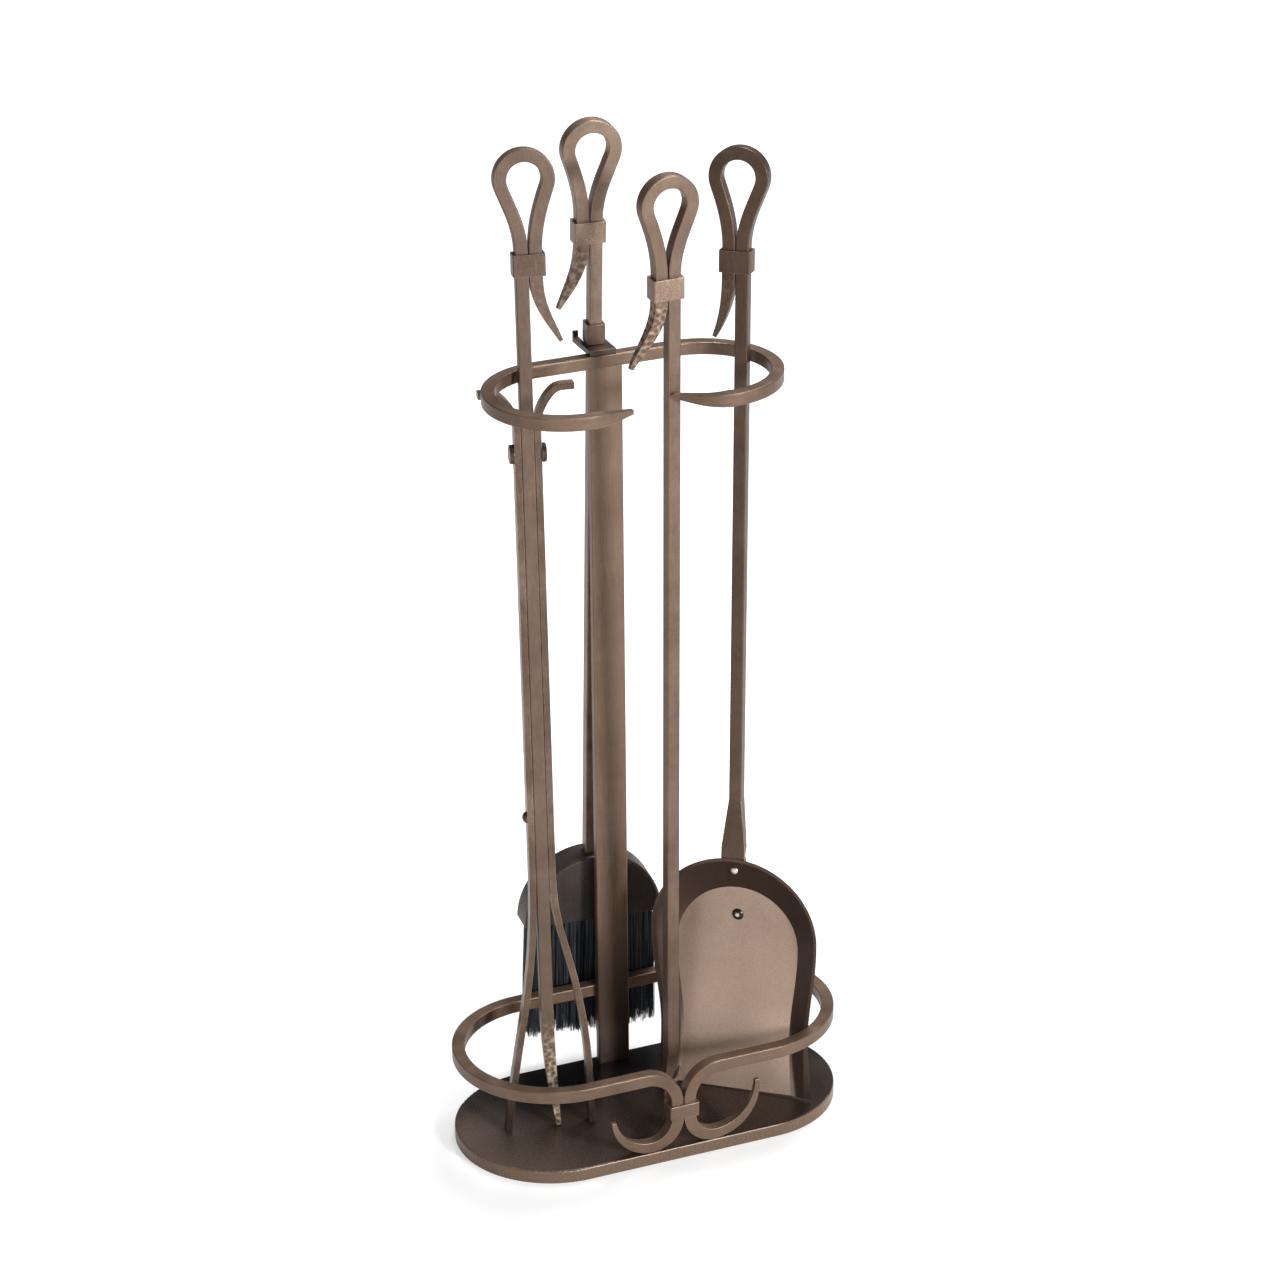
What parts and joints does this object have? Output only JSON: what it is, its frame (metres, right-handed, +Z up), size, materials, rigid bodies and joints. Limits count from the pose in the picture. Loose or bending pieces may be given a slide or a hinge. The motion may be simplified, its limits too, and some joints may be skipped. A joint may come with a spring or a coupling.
{
  "type": "fireplace tool set",
  "caption": "Freestanding fireplace tool set in bronze-painted square bar: oval base, column, closed lower rail with front scrolls, open upper rail, tongs, poker, brush and shovel",
  "frame": {"origin": "middle of the base plate's underside, on the floor", "axes": "+X to the right along the base, +Y to the back where the brush hangs, +Z up"},
  "size_m": [0.3, 0.1851, 0.7653],
  "materials": {
    "bronze_paint": "burnished satin",
    "base_paint": "semi-gloss",
    "pan_paint": "satin",
    "rivet_paint": "satin",
    "brush_shell": "satin",
    "bristle": "matte"
  },
  "bodies": {
    "stand": {"base_plate": "base_paint", "column": "bronze_paint", "lower_rail_left": "bronze_paint", "lower_rail_right": "bronze_paint", "lower_rail_collar": "bronze_paint", "upper_rail": "bronze_paint", "brush_fork": "bronze_paint"},
    "tongs": {"tongs_bar": "bronze_paint", "tongs_collar": "bronze_paint"},
    "tongs_yoke": {"tongs_arm_left": "bronze_paint", "tongs_arm_right": "bronze_paint", "tongs_pivot": "rivet_paint", "tongs_stud": "rivet_paint"},
    "poker": {"poker_bar": "bronze_paint", "poker_collar": "bronze_paint", "poker_hook": "bronze_paint"},
    "brush": {"brush_bar": "bronze_paint", "brush_collar": "bronze_paint", "brush_stop": "bronze_paint", "brush_head": "brush_shell", "brush_bristles": "bristle"},
    "shovel": {"shovel_bar": "bronze_paint", "shovel_collar": "bronze_paint", "shovel_pan": "pan_paint", "shovel_rivet_top": "rivet_paint", "shovel_rivet_low": "rivet_paint"}
  },
  "joints": [
    {"name": "tongs_turn", "type": "hinge", "parent": "stand", "child": "tongs", "pos_m": [-0.081, -0.007, 0.01078], "axis": [0, 0, 1], "range_deg": [-30, 0]},
    {"name": "tongs_grip", "type": "hinge", "parent": "tongs", "child": "tongs_yoke", "pos_m": [-0.06832, 0.04488, 0.53407], "axis": [0.9781, -0.2082, -0.003], "range_deg": [-5, 0]},
    {"name": "poker_lift", "type": "slide", "parent": "stand", "child": "poker", "axis": [-0.0087, -0.0364, 0.9993], "range_m": [0, 0.7]},
    {"name": "shovel_lift", "type": "slide", "parent": "stand", "child": "shovel", "axis": [0.0201, 0.1203, 0.9925], "range_m": [0, 0.3]},
    {"name": "brush_lift", "type": "slide", "parent": "stand", "child": "brush", "axis": [0, 0.6, 0.8], "range_m": [0, 0.25]}
  ]
}
